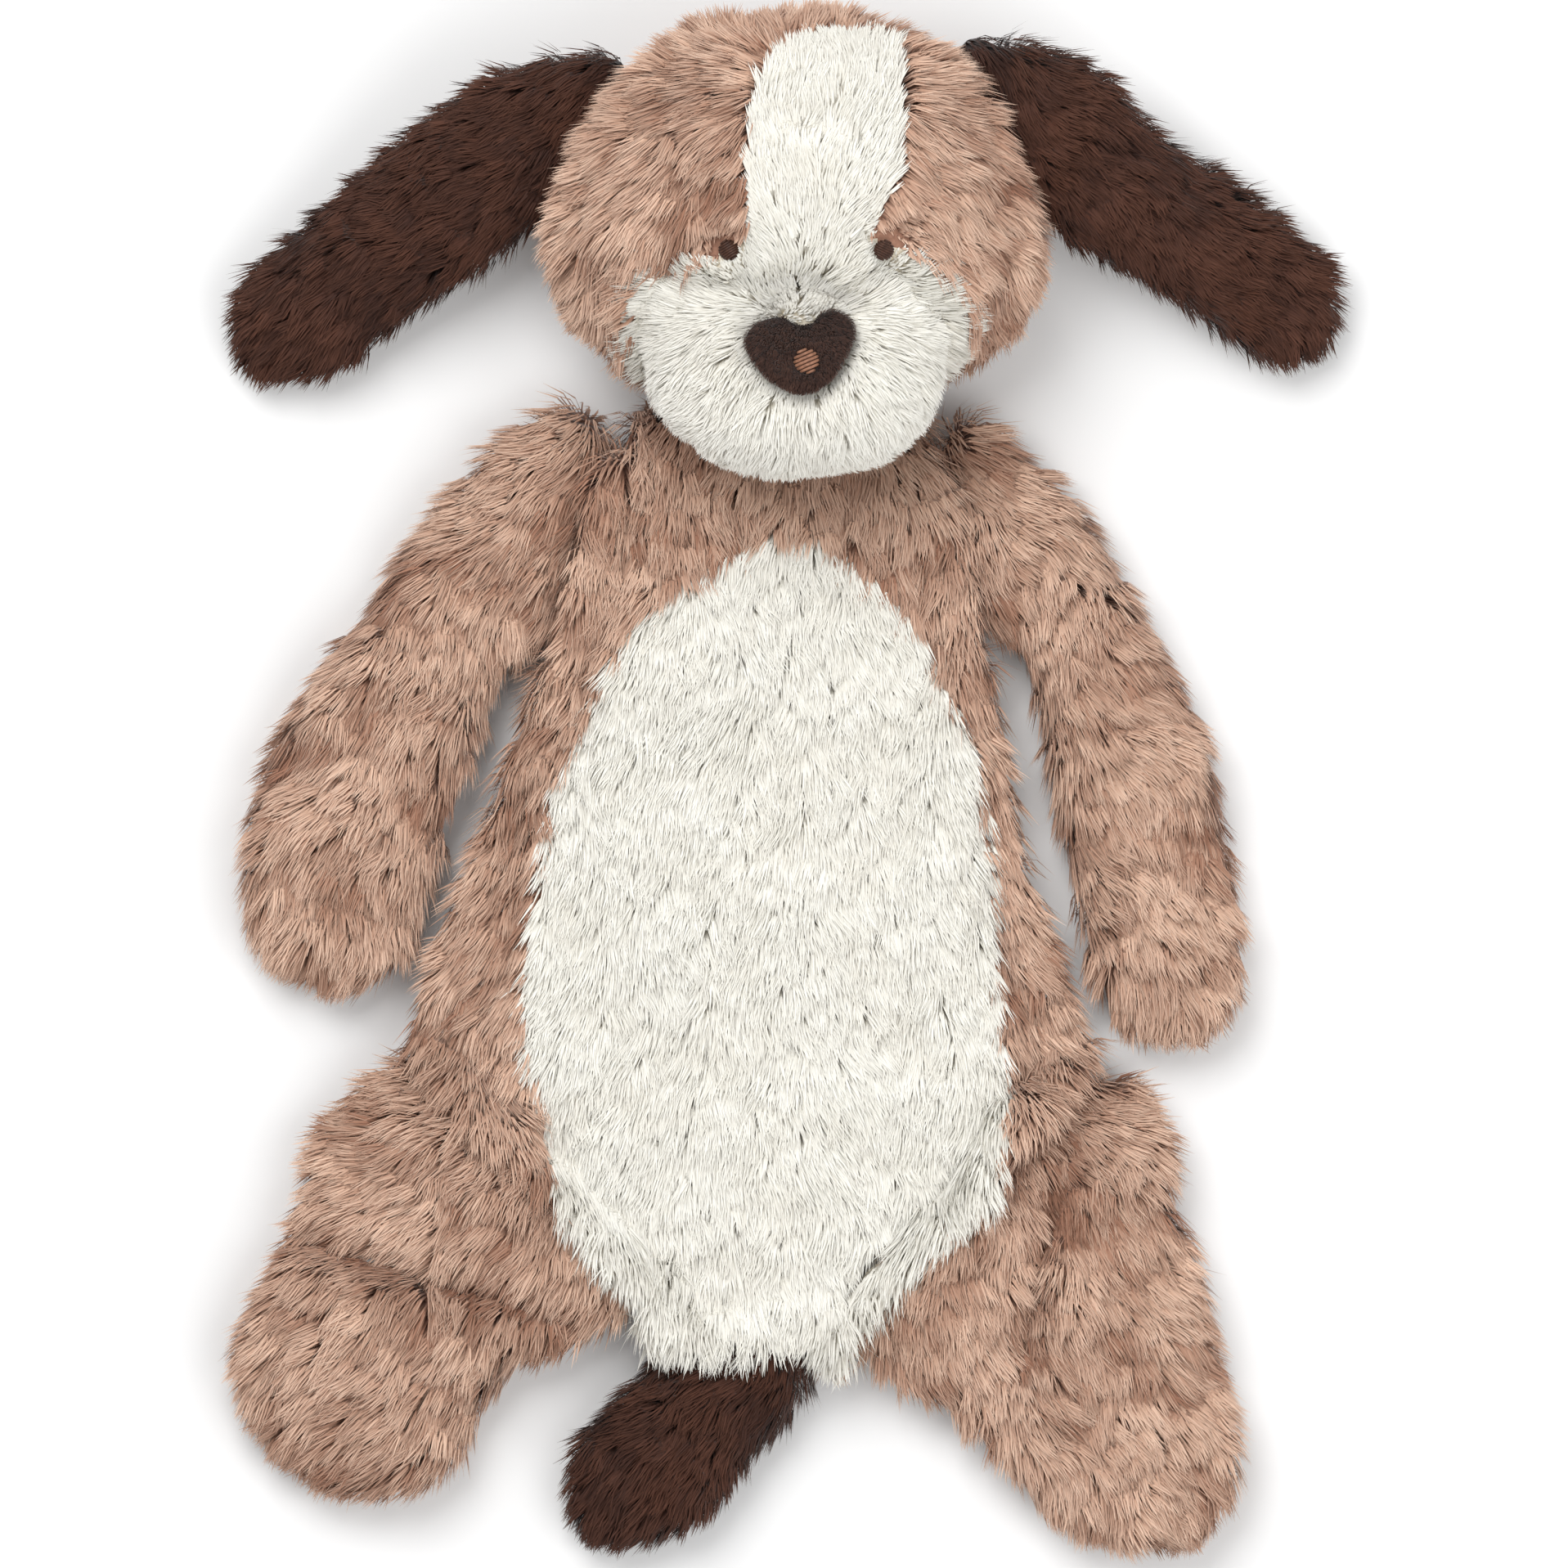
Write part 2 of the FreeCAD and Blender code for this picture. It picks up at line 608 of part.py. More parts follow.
def ear(name, at, edges):
    """An ear that leaves the side of the head and slopes down until its tip is at the floor."""
    across_share, up_share, heading = at
    root = EAR_THICKNESS / 2
    edge = HEAD + Vector(across_share * HEAD_WIDTH / 2, up_share * HEAD_HEIGHT / 2, 0)
    middle = edge - heading_vector(heading) * EAR_SINK
    middle.z = EAR_ROOT_HEIGHT
    path = limb_path(middle, heading, edges, EAR_REACH, root)
    run = (path[-1][0] + path[-1][1]) * 0.5 - middle
    slope = math.degrees(math.asin((EAR_ROOT_HEIGHT - root) / run.Length))
    turn = Rotation(UP.cross(run), slope)

    def sloped(solid):
        solid.rotate(middle, UP.cross(run), slope)
        return solid

    cover = pillow(path, EAR_THICKNESS).cut(pillow(path, EAR_THICKNESS, EAR_WALL))
    save(name + "_front", sloped(cover.common(above(EAR_ROOT_HEIGHT))))
    save(name + "_back", sloped(cover.common(below(EAR_ROOT_HEIGHT))))
    save(name + "_filling", sloped(pillow(path, EAR_THICKNESS, EAR_WALL + FIT)))
    note_joint(name, middle, turn.multVec(UP.cross(heading_vector(heading)) * -1))
    half_length = edges[0][1] * EAR_REACH + EAR_NOTCH
    return sloped(socket(middle, heading, root + EAR_GAP, half_length, EAR_UP, EAR_DOWN))


def neck_thread():
    """The doubled thread that draws the neck in and holds the head on: a flat ring in the neck's gap."""
    line = HEAD - Vector(NECK_PIVOT)
    line.x = 0
    line.normalize()
    centre = NECK_PIVOT + line * ((TORSO_END_THICKNESS + NECK_THREAD) / 2 + NECK_CLEARANCE)
    lift = Vector(1, 0, 0).cross(line)
    ellipse = Part.Ellipse(centre + Vector(NECK_RING_WIDTH / 2, 0, 0), centre + lift * (NECK_RING_HEIGHT / 2),
                           centre)
    start = ellipse.value(0)
    circle = Part.Wire([Part.makeCircle(NECK_THREAD / 2, start, ellipse.tangent(0)[0])])
    ring = Part.Wire([ellipse.toShape()]).makePipeShell([circle], True, False)
    save("neck_thread", ring)
    note_joint("neck", NECK_PIVOT, Vector(1, 0, 0))
    note_joint("head_tilt", centre, lift)


# ---- build --------------------------------------------------------------------------------------------------

def main():
    os.makedirs("parts", exist_ok=True)
    rooms = [
        limb("arm_left", LEFT_ARM_AT, LEFT_ARM_EDGES, LEFT_ARM_REACH, ARM_THICKNESS, BODY_WALL),
        limb("arm_right", RIGHT_ARM_AT, RIGHT_ARM_EDGES, RIGHT_ARM_REACH, ARM_THICKNESS, BODY_WALL),
        limb("leg_left", LEFT_LEG_AT, LEFT_LEG_EDGES, LEFT_LEG_REACH, LEG_THICKNESS, BODY_WALL),
        limb("leg_right", RIGHT_LEG_AT, RIGHT_LEG_EDGES, RIGHT_LEG_REACH, LEG_THICKNESS, BODY_WALL),
        limb("tail", TAIL_AT, TAIL_EDGES, TAIL_REACH, TAIL_THICKNESS, EAR_WALL),
    ]
    make_torso([open_to for open_to, _ in rooms], [clear_of for _, clear_of in rooms])
    make_head([ear("ear_left", LEFT_EAR_AT, LEFT_EAR_EDGES), ear("ear_right", RIGHT_EAR_AT, RIGHT_EAR_EDGES)])
    neck_thread()
    for name, line in joints.items():
        print("%-12s hinge at %s along %s" % (name, line["pos"], line["axis"]))


main()
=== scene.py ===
"""Looks of the floppy plush dog, built over its CAD frame.

Metres, +Y from the tail to the head, +Z up out of the belly."""

import json
import math

import bmesh
import bpy
import numpy as np
from mathutils import Matrix, Vector, noise
from mathutils.bvhtree import BVHTree

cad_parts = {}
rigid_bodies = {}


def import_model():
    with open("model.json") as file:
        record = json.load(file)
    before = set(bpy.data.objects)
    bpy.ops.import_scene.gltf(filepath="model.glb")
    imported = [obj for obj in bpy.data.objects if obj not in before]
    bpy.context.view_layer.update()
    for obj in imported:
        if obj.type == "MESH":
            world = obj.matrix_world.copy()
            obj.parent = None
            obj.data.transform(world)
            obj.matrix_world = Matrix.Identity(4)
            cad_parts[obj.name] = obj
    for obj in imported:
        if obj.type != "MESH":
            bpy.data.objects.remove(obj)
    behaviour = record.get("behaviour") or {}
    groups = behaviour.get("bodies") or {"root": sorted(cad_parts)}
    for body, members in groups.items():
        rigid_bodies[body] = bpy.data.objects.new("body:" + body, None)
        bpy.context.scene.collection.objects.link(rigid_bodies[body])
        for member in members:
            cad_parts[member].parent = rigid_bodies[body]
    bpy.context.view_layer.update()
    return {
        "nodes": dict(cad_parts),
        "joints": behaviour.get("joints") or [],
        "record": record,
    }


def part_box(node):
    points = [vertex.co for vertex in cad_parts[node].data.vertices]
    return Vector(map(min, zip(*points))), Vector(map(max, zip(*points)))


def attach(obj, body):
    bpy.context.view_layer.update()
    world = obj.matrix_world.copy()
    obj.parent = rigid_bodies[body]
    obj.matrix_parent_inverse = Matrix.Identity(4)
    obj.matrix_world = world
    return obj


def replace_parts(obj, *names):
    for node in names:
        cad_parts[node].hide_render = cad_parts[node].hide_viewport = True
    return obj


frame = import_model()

# ---- body: white belly, tan sides and back -------------------------------------------------------
# Long-pile plush sewn right side in, turned and lightly filled, so the cover bulges and puckers a little.
# Each panel is a knitted backing with its own pile; the five panels meet on machine-sewn seams.

WEAVE = 0.0030           # size of the cloth's faces while it settles
FINE = 0.0022            # size of the faces while the panels and the filling are made one solid
PILE_DEPTH = 0.0050      # the backing lies this far inside the CAD panel, under its lying pile
SETTLING = 16            # frames of cloth simulation
MOST_SWELL = 0.0022      # a point of the cloth moves this far or less
LUMP_SIZE = 0.034
LUMP_DEPTH = 0.0016
FOLD_WIDTH = 0.0045

HINGE_NEAR = 0.015       # a part's points this near to a hinge's line say how long the hinge is
HINGE_WIDTH = 0.026      # cloth this near to a hinge's line meets its neighbour
HINGE_FADE = 0.010
HINGE_ENDS = 0.016       # and so does cloth this far past the hinge's ends
END_FADE = 0.008
HINGE_FULL = 0.85        # share of the taking in that cloth at a hinge is spared


def largest_part(mesh):
    """Keeps the biggest connected shell of a mesh."""
    shape = bmesh.new()
    shape.from_mesh(mesh)
    shells = []
    unseen = set(shape.verts)
    while unseen:
        shell = {unseen.pop()}
        edge_of_shell = list(shell)
        while edge_of_shell:
            for edge in edge_of_shell.pop().link_edges:
                for vert in edge.verts:
                    if vert in unseen:
                        unseen.remove(vert)
                        shell.add(vert)
                        edge_of_shell.append(vert)
        shells.append(shell)
    biggest = max(shells, key=len)
    bmesh.ops.delete(shape, geom=[v for v in shape.verts if v not in biggest], context="VERTS")
    shape.to_mesh(mesh)
    shape.free()


def settled(piece, modifier, settings):
    """Adds one modifier with its settings, and applies it to the piece's mesh."""
    added = piece.modifiers.new(modifier.title(), modifier)
    for name, value in settings.items():
        setattr(added, name, value)
    seen = piece.evaluated_get(bpy.context.evaluated_depsgraph_get())
    mesh = bpy.data.meshes.new_from_object(seen)
    piece.modifiers.remove(added)
    piece.data = mesh


def points_of(mesh):
    return np.array([v.co for v in mesh.vertices], float).reshape(-1, 3)


def normals_of(mesh):
    return np.array([v.normal for v in mesh.vertices], float).reshape(-1, 3)


def place_points(mesh, points):
    mesh.vertices.foreach_set("co", points.astype(np.float32).ravel())
    mesh.update()


def filled(piece, most):
    """Cloth under the filling's light pressure. A point moves most metres or less."""
    before = points_of(piece.data)
    scene = bpy.context.scene
    cloth = piece.modifiers.new("Cover", "CLOTH")
    cloth.settings.use_pressure = True
    cloth.settings.uniform_pressure_force = 3.0
    cloth.settings.mass = 0.25
    cloth.settings.shrink_min = -0.10
    cloth.settings.effector_weights.gravity = 0.0
    cloth.settings.quality = 4
    for number in range(1, SETTLING + 1):
        scene.frame_set(number)
    seen = piece.evaluated_get(bpy.context.evaluated_depsgraph_get())
    after = points_of(seen.data)
    piece.modifiers.remove(cloth)
    scene.frame_set(1)
    moved = after - before
    length = np.linalg.norm(moved, axis=1, keepdims=True)
    place_points(piece.data, before + moved * np.minimum(1.0, most / np.maximum(length, 1e-9)))


def lumpy(piece, size, depth, seed):
    """Soft lumps of filling under the cloth."""
    points, normals = points_of(piece.data), normals_of(piece.data)
    offset = Vector((seed * 7.3, seed * 3.1, 0.0))
    lift = np.array([noise.fractal(Vector(p) / size + offset, 1.0, 2.0, 2) for p in points])
    place_points(piece.data, points + normals * (lift * depth)[:, None])


def at_hinge(points, body):
    """1 on the cloth that meets a neighbour at a hinge, fading to 0 away from it."""
    share = np.zeros(len(points))
    for joint in frame["joints"]:
        sides = {joint["parent"], joint["child"]} | ({"head"} if joint["name"] == "head_nod" else set())
        if body not in sides or joint["name"] == "head_tilt":
            continue
        place, axis = np.array(joint["pos_m"]), np.array(joint["axis"])

        def along_and_off(spots):
            run = (spots - place) @ axis
            return np.abs(run), np.linalg.norm(spots - place - run[:, None] * axis, axis=1)

        nodes = frame["record"]["behaviour"]["bodies"][joint["child"]]
        run, off = along_and_off(np.vstack([points_of(frame["nodes"][n].data) for n in nodes]))
        half = run[off < HINGE_NEAR].max()
        run, off = along_and_off(points)
        beside = np.clip((HINGE_WIDTH - off) / HINGE_FADE, 0, 1)
        within = np.clip((half + HINGE_ENDS - run) / END_FADE, 0, 1)
        share = np.maximum(share, beside * within)
    return share


def cover(name, body, nodes, seed, depth, folds=()):
    """The stuffed cloth shell of one body part: its CAD solids as one, taken in by the depth of the pile,
    filled, with lumps and with the folds it lies in. It is taken in less where it meets its neighbour at
    a hinge. A fold is (x, y, x, y, depth) of a line seen from above."""
    solids = bmesh.new()
    for node in nodes:
        solids.from_mesh(frame["nodes"][node].data)
    shell = bpy.data.objects.new(name, bpy.data.meshes.new(name))
    solids.to_mesh(shell.data)
    solids.free()
    bpy.context.scene.collection.objects.link(shell)
    settled(shell, "REMESH", {"mode": "VOXEL", "voxel_size": FINE, "use_smooth_shade": True})
    largest_part(shell.data)
    settled(shell, "SMOOTH", {"factor": 0.5, "iterations": 6})
    inward = normals_of(shell.data) * depth
    inward[:, :2] *= (1 - HINGE_FULL * at_hinge(points_of(shell.data), body))[:, None]
    place_points(shell.data, points_of(shell.data) - inward)
    settled(shell, "REMESH", {"mode": "VOXEL", "voxel_size": WEAVE, "use_smooth_shade": True})
    largest_part(shell.data)
    settled(shell, "SMOOTH", {"factor": 0.5, "iterations": 3})
    filled(shell, MOST_SWELL)
    lumpy(shell, LUMP_SIZE, LUMP_DEPTH, seed)
    settled(shell, "SUBSURF", {"levels": 1, "render_levels": 1})
    points, normals = points_of(shell.data), normals_of(shell.data)
    # How near each point lies to a fold's line: the pile there grows shorter and is painted darker, as
    # painted shade in the crease.
    shade = np.zeros(len(points))
    for x0, y0, x1, y1, sunk in folds:
        start, run = np.array([x0, y0]), np.array([x1 - x0, y1 - y0])
        share = np.clip((points[:, :2] - start) @ run / (run @ run), 0, 1)
        away = np.linalg.norm(points[:, :2] - start - share[:, None] * run, axis=1)
        facing_up = np.clip(normals[:, 2] * 2, 0, 1)
        near = np.exp(-(away / FOLD_WIDTH) ** 2) * facing_up * np.sin(np.pi * (0.1 + 0.8 * share))
        points = points - normals * (near * sunk)[:, None]
        shade = np.maximum(shade, near)
    place_points(shell.data, points)
    shell.data.attributes.new("fold", "FLOAT", "POINT")
    shell.data.attributes["fold"].data.foreach_set("value", shade.astype(np.float32))
    shell.data.attributes.new("bare", "FLOAT", "POINT")
    shell.data.shade_smooth()
    return shell


FIBRE = 0.0019           # size of the filling's faces
TUFT_SIZE = 0.012
TUFT_DEPTH = 0.0006


def wadding(name, body, filling, seed):
    """The fibre filling: lumps of loose fibre in the cover's room."""
    core = bpy.data.objects.new(name, frame["nodes"][filling].data.copy())
    bpy.context.scene.collection.objects.link(core)
    settled(core, "REMESH", {"mode": "VOXEL", "voxel_size": FIBRE, "use_smooth_shade": True})
    largest_part(core.data)
    settled(core, "SMOOTH", {"factor": 0.5, "iterations": 3})
    lumpy(core, TUFT_SIZE, TUFT_DEPTH, seed)
    core.data.materials.clear()
    core.data.materials.append(fibre_fill)
    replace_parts(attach(core, body), filling)


class Wire:
    """A socket that takes part in Python sums. Each sum adds its own Math node."""

    def __init__(self, recipe, end):
        self.recipe = recipe
        self.end = end

    def also(self, output):
        """Another output of the same node."""
        return Wire(self.recipe, self.end.node.outputs[output])

    def maths(self, operation, *values):
        return self.recipe.add("ShaderNodeMath", {"operation": operation}, dict(enumerate(values)))

    def __add__(self, other):
        return self.maths("ADD", self, other)

    def __sub__(self, other):
        return self.maths("SUBTRACT", self, other)

    def __rsub__(self, other):
        return self.maths("SUBTRACT", other, self)

    def __mul__(self, other):
        return self.maths("MULTIPLY", self, other)

    def __pow__(self, other):
        return self.maths("POWER", self, other)

    __radd__ = __add__
    __rmul__ = __mul__

    def between(self, low, high):
        return self.maths("MAXIMUM", self.maths("MINIMUM", self, high), low)


class Recipe:
    """One node tree while it is written."""

    def __init__(self, tree):
        self.tree = tree

    def add(self, kind, settings=None, inputs=None, output=0):
        """Places a node, with its settings first and then its sockets' values or links."""
        node = self.tree.nodes.new(kind)
        for name, value in (settings or {}).items():
            setattr(node, name, value)
        for key, value in (inputs or {}).items():
            if isinstance(value, Wire):
                self.tree.links.new(value.end, node.inputs[key])
            else:
                node.inputs[key].default_value = value
        return Wire(self, node.outputs[output]) if len(node.outputs) else node

    def vector(self, operation, first, second=(0.0, 0.0, 0.0)):
        """A sum on vectors. SCALE takes a number as its second value."""
        key = "Scale" if operation == "SCALE" else 1
        output = 1 if operation in ("DOT_PRODUCT", "LENGTH") else 0
        return self.add("ShaderNodeVectorMath", {"operation": operation}, {0: first, key: second}, output)

    def mix(self, share, first, second):
        """A colour between two, at a share."""
        settings = {"data_type": "RGBA", "clamp_factor": True}
        return self.add("ShaderNodeMix", settings, {0: share, 6: first, 7: second}, 2)


def colour(red, green, blue):
    """A colour on the usual 0 to 255 scale, as the shader wants it."""
    return tuple(((v / 255 + 0.055) / 1.055) ** 2.4 for v in (red, green, blue)) + (1.0,)


def material(name, roughness, sheen=0.0, sheen_roughness=0.5):
    """A new material: its recipe and its shader's node."""
    made = bpy.data.materials.new(name)
    made.use_nodes = True
    shader = made.node_tree.nodes["Principled BSDF"]
    shader.inputs["Roughness"].default_value = roughness
    shader.inputs["Sheen Weight"].default_value = sheen
    shader.inputs["Sheen Roughness"].default_value = sheen_roughness
    shader.inputs["Specular IOR Level"].default_value = 0.25
    return made, Recipe(made.node_tree), shader


def plush(name, root, shade, light, tip):
    """Pile coloured along each hair from its root, darkened as painted shade deep in the pile, to its
    tip, lighter or darker from lock to lock.
    """
    made, recipe, shader = material(name, 0.72, 0.25, 0.45)
    place = recipe.add("ShaderNodeUVMap", {"uv_map": "hair"})
    parts = recipe.add("ShaderNodeSeparateXYZ", {}, {0: place})
    tone_and_painted_shade, along = parts.also("X"), parts.also("Y")
    body = recipe.mix(tone_and_painted_shade, colour(*shade), colour(*light))
    # Painted shade: each hair darkens towards its root, deep in the pile.
    with_painted_root_shade = recipe.mix((along * 1.9).between(0.0, 1.0), colour(*root), body)
    ended = recipe.mix(((along - 0.55) * 1.6 * tone_and_painted_shade).between(0.0, 1.0), with_painted_root_shade, colour(*tip))
    made.node_tree.links.new(ended.end, shader.inputs["Base Color"])
    return made


def backing(name, dark, light):
    """The knitted ground under the pile: fine ribs of hair roots, with painted shade in the hollows
    between them.
    """
    made, recipe, shader = material(name, 0.9, 0.2)
    place = recipe.add("ShaderNodeTexCoord").also("Object")
    roots = recipe.add("ShaderNodeTexNoise", {}, {"Vector": place, "Scale": 900.0, "Detail": 2.0})
    patches = recipe.add("ShaderNodeTexNoise", {}, {"Vector": place, "Scale": 60.0, "Detail": 1.0})
    # Painted shade: the ground is darker where the ribs' bump is low, between them; the wider patches are
    # random tone.
    share = (roots * 1.4 + patches * 0.6 - 0.5).between(0.0, 1.0)
    knit_and_painted_shade = recipe.mix(share, colour(*dark), colour(*light))
    made.node_tree.links.new(knit_and_painted_shade.end, shader.inputs["Base Color"])
    bump = recipe.add("ShaderNodeBump", {}, {"Strength": 0.5, "Distance": 0.0005, "Height": roots})
    made.node_tree.links.new(bump.end, shader.inputs["Normal"])
    return made


def pile_tree():
    """Hairs of a plush's pile: flat tapering strips that rise from the cover, lie down the way the pile
    is brushed and draw together at their tips into locks."""
    tree = bpy.data.node_groups.new("Plush pile", "GeometryNodeTree")
    wanted = {
        "Cover": "NodeSocketGeometry", "Hairs": "NodeSocketFloat", "Length": "NodeSocketFloat",
        "Width": "NodeSocketFloat", "Lie": "NodeSocketFloat", "Swirl": "NodeSocketFloat",
        "Locks": "NodeSocketFloat", "Draw": "NodeSocketFloat", "Waves": "NodeSocketFloat",
        "Tousle": "NodeSocketFloat", "Brushed from": "NodeSocketVector", "Plush": "NodeSocketMaterial",
        "Seed": "NodeSocketInt",
    }
    for name, kind in wanted.items():
        tree.interface.new_socket(name, in_out="INPUT", socket_type=kind)
    tree.interface.new_socket("Pile", in_out="OUTPUT", socket_type="NodeSocketGeometry")
    recipe = Recipe(tree)
    given = recipe.add("NodeGroupInput")

    def stored(geometry, name, value, kind="FLOAT_VECTOR", domain="POINT"):
        return recipe.add("GeometryNodeStoreNamedAttribute", {"data_type": kind, "domain": domain},
                          {"Geometry": geometry, "Name": name, "Value": value})

    def read(name, kind="FLOAT_VECTOR"):
        return recipe.add("GeometryNodeInputNamedAttribute", {"data_type": kind}, {"Name": name})

    def chance(low, high, number):
        seed = given.also("Seed") + number
        return recipe.add("FunctionNodeRandomValue", {"data_type": "FLOAT"},
                          {2: low, 3: high, "Seed": seed}, 1)

    # Hair roots over the cover, none where it is bare.
    bare = read("bare", "FLOAT")
    fold = read("fold", "FLOAT")
    amount = given.also("Hairs") * (5.0 - bare * 5.0).between(0.0, 1.0)
    points = recipe.add("GeometryNodeDistributePointsOnFaces", {"distribute_method": "RANDOM"},
                        {"Mesh": given.also("Cover"), "Density": amount, "Seed": given.also("Seed")})
    normal = points.also("Normal")
    root = recipe.add("GeometryNodeInputPosition")

    # The way the pile is brushed at each root: away from a place, and bent a little here and there.
    bend = recipe.add("ShaderNodeTexNoise", {}, {"Vector": root, "Scale": 38.0, "Detail": 1.0})
    bend = recipe.vector("SUBTRACT", bend.also("Color"), (0.5, 0.5, 0.5))
    bend = recipe.vector("SCALE", bend, given.also("Swirl") * 2.0)
    away = recipe.vector("NORMALIZE", recipe.vector("SUBTRACT", root, given.also("Brushed from")))
    flow = recipe.vector("ADD", away, bend)
    upward = recipe.vector("SCALE", normal, recipe.vector("DOT_PRODUCT", flow, normal))
    forward = recipe.vector("NORMALIZE", recipe.vector("SUBTRACT", flow, upward))
    sideways = recipe.vector("CROSS_PRODUCT", forward, normal)

    # The lock that a hair belongs to, with its middle, and wider waves: where a wave is high the pile
    # stands up and is painted lighter, where it is low the pile lies flat and is painted darker.
    cells = recipe.add("ShaderNodeTexVoronoi", {},
                       {"Vector": root, "Scale": given.also("Locks"), "Randomness": 1.0})
    lock = recipe.add("ShaderNodeSeparateXYZ", {}, {0: cells.also("Color")})
    middle = recipe.vector("SUBTRACT", cells.also("Position"), root)
    middle = recipe.vector("SUBTRACT", middle,
                           recipe.vector("SCALE", normal, recipe.vector("DOT_PRODUCT", middle, normal)))
    wave = recipe.add("ShaderNodeTexNoise", {},
                      {"Vector": root, "Scale": given.also("Waves"), "Detail": 2.0})
    wave = ((wave - 0.5) * 2.4 + 0.5).between(0.0, 1.0)

    # Each hair's length, lift, reach, lean, width and tone. The tone differs at random from lock to lock,
    # with painted light where the pile stands up on a wave and painted shade where it lies flat or in a
    # fold.
    long = given.also("Length") * chance(0.78, 1.1, 1) * (1.0 - fold * 0.35) * (1.0 - bare * 0.85)
    tousle = given.also("Tousle")
    uneven = (wave - 0.5) * 0.5 + (lock.also("X") - 0.5) * 0.3
    lift = (given.also("Lie") + uneven * tousle).between(0.12, 0.95)
    reach = long * (1.0 - lift * lift * 0.55)
    lean = (lock.also("Y") - 0.5) * 0.7 + chance(-0.22, 0.22, 2)
    width = given.also("Width") * chance(0.75, 1.25, 3)
    # Painted light and shade: the wave term lightens the pile where it lifts it and darkens it where the
    # pile lies flat; the lock and chance terms are random tone.
    shade = (lock.also("Z") - 0.5) * 0.45 + (wave - 0.5) * 0.75 + chance(-0.16, 0.16, 4)
    # Painted shade: the tone is darker along the cover's folds.
    tone_and_painted_shade = 0.55 + shade * tousle - fold * 0.45
    strip = recipe.vector("ADD", sideways, recipe.vector("SCALE", normal, chance(-0.5, 0.5, 5)))

    hairs = stored(points, "hair_root", root)
    hairs = stored(hairs, "hair_rise", recipe.vector("SCALE", normal, long * lift))
    hairs = stored(hairs, "hair_reach", recipe.vector("ADD", recipe.vector("SCALE", forward, reach),
                                                      recipe.vector("SCALE", sideways, reach * lean)))
    hairs = stored(hairs, "hair_draw", recipe.vector("SCALE", middle, given.also("Draw")))
    hairs = stored(hairs, "hair_side", recipe.vector("SCALE", strip, width))
    hairs = stored(hairs, "hair_tone", tone_and_painted_shade.between(0.02, 0.98), "FLOAT")

    # One blade of two faces for each hair, bent and tapered between its root and its tip.
    blade = recipe.add("GeometryNodeMeshGrid", {},
                       {"Size X": 1.0, "Size Y": 1.0, "Vertices X": 2, "Vertices Y": 3})
    shape = recipe.add("ShaderNodeSeparateXYZ", {}, {0: recipe.add("GeometryNodeInputPosition")})
    blade = stored(blade, "hair_across", shape.also("X"), "FLOAT")
    blade = stored(blade, "hair_along", shape.also("Y") + 0.5, "FLOAT")
    placed = recipe.add("GeometryNodeInstanceOnPoints", {}, {"Points": hairs, "Instance": blade})
    mesh = recipe.add("GeometryNodeRealizeInstances", {}, {0: placed})

    along, across = read("hair_along", "FLOAT"), read("hair_across", "FLOAT")
    rising = recipe.vector("SCALE", read("hair_rise"), along * 1.7 - along * along * 0.7)
    reaching = recipe.vector("SCALE", read("hair_reach"), along ** 1.5)
    drawing = recipe.vector("SCALE", read("hair_draw"), along * along)
    widening = recipe.vector("SCALE", read("hair_side"), across * (1.04 - along * along))
    spot = recipe.vector("ADD", read("hair_root"), rising)
    for part in (reaching, drawing, widening):
        spot = recipe.vector("ADD", spot, part)

    # Hair under the toy lies on the floor, and doesn't go through it.
    axes = recipe.add("ShaderNodeSeparateXYZ", {}, {0: spot})
    lowest = read("hair_tone", "FLOAT") * 0.0008 + 0.0003
    height = axes.maths("MAXIMUM", axes.also("Z"), lowest)
    spot = recipe.add("ShaderNodeCombineXYZ", {}, {"X": axes.also("X"), "Y": axes.also("Y"), "Z": height})
    mesh = recipe.add("GeometryNodeSetPosition", {}, {"Geometry": mesh, "Position": spot})

    # The hair's tone, with its painted light and shade, and the way along it are its two coordinates, in
    # both of its maps.
    map_spot = recipe.add("ShaderNodeCombineXYZ", {}, {
        "X": read("hair_tone", "FLOAT") * 0.97 + across * 0.012 + 0.01, "Y": along})
    for name in ("hair", "OFBake"):
        mesh = stored(mesh, name, map_spot, "FLOAT2", "CORNER")
    mesh = recipe.add("GeometryNodeSetMaterial", {}, {"Geometry": mesh, "Material": given.also("Plush")})
    recipe.add("NodeGroupOutput", {}, {"Pile": mesh})
    return tree


pile_recipe = pile_tree()
MOST_HAIRS = 48000       # in one piece


def panel_of_faces(shell, nodes):
    """For each face of a cover, which CAD panel lies over it."""
    outside = []
    for node in nodes:
        mesh = frame["nodes"][node].data
        faces = [p.vertices[:] for p in mesh.polygons]
        outside.append(BVHTree.FromPolygons([v.co for v in mesh.vertices], faces))
    found = []
    for face in shell.data.polygons:
        spot = face.center + face.normal * PILE_DEPTH
        found.append(min(range(len(nodes)), key=lambda k: outside[k].find_nearest(spot)[3]))
    return np.array(found)


def part_of(shell, faces, name):
    """A copy of some of a cover's faces, with its point attributes."""
    piece = bpy.data.objects.new(name, shell.data.copy())
    bpy.context.scene.collection.objects.link(piece)
    cut = bmesh.new()
    cut.from_mesh(piece.data)
    cut.faces.ensure_lookup_table()
    kept = set(int(k) for k in faces)
    bmesh.ops.delete(cut, geom=[f for f in cut.faces if f.index not in kept], context="FACES")
    cut.to_mesh(piece.data)
    cut.free()
    return piece


